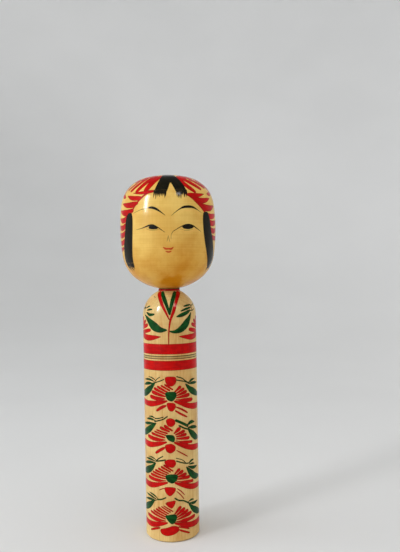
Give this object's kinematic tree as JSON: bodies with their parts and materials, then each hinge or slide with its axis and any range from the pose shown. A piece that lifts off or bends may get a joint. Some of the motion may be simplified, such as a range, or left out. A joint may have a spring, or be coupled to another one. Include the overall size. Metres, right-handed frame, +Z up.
{
  "type": "kokeshi doll",
  "caption": "Lathe-turned wooden kokeshi doll: a large rounded head that turns on its tenon in a plain cylindrical body, to stand on a shelf.",
  "frame": {"origin": "centre of the sole's resting plane, on the turning axis", "axes": "+Z up along the turning axis, -Y out of the face, +X to the doll's left hand, which is the viewer's right"},
  "size_m": [0.0804, 0.0804, 0.3],
  "materials": {
    "body_wood": "satin, waxed, with painted flowers and sash",
    "head_wood": "gloss, waxed, with painted hair and face"
  },
  "bodies": {
    "body": {"body": "body_wood"},
    "head": {"head": "head_wood"}
  },
  "joints": [
    {"name": "head_turn", "type": "hinge", "parent": "body", "child": "head", "pos_m": [0, 0, 0.205], "axis": [0, 0, 1], "continuous": true}
  ]
}
